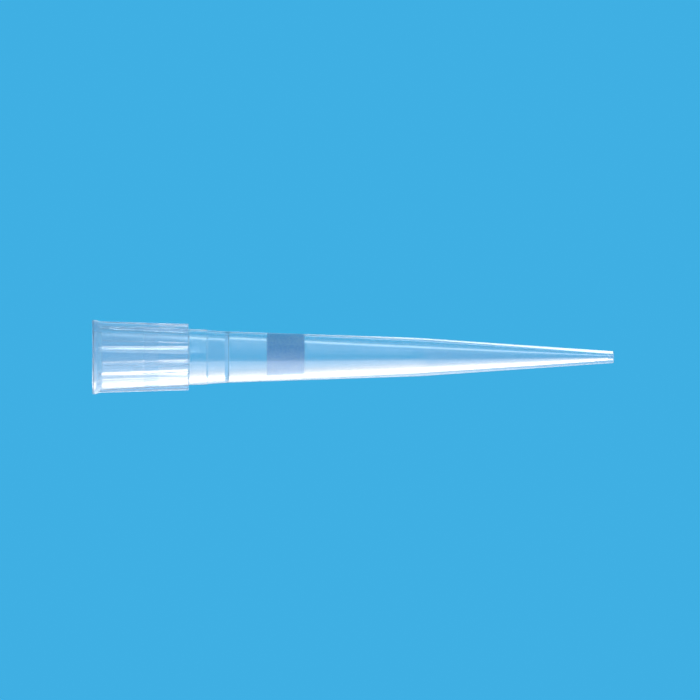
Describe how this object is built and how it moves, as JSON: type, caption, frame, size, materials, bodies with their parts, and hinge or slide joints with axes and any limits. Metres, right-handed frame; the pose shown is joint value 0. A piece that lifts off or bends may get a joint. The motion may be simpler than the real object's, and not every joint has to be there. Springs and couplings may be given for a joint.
{
  "type": "filter pipette tip",
  "caption": "Slender tapered plastic pipette tip with a rimmed, ribbed socket collar at its wide end, a fine round outlet, and a porous filter plug pressed into its barrel.",
  "frame": {"origin": "centre of the mouth's end face, where the tip stands on its rim", "axes": "+Z along the axis from the mouth to the outlet, +X through the middle of one rib"},
  "size_m": [0.0074, 0.0074, 0.052],
  "materials": {
    "natural_polypropylene": "clear moulded polypropylene with a faint milky haze, smooth and undyed",
    "sintered_polyethylene": "white, fine-grained and porous"
  },
  "bodies": {
    "root": {"tip_body": "natural_polypropylene", "filter_plug": "sintered_polyethylene"}
  },
  "joints": []
}
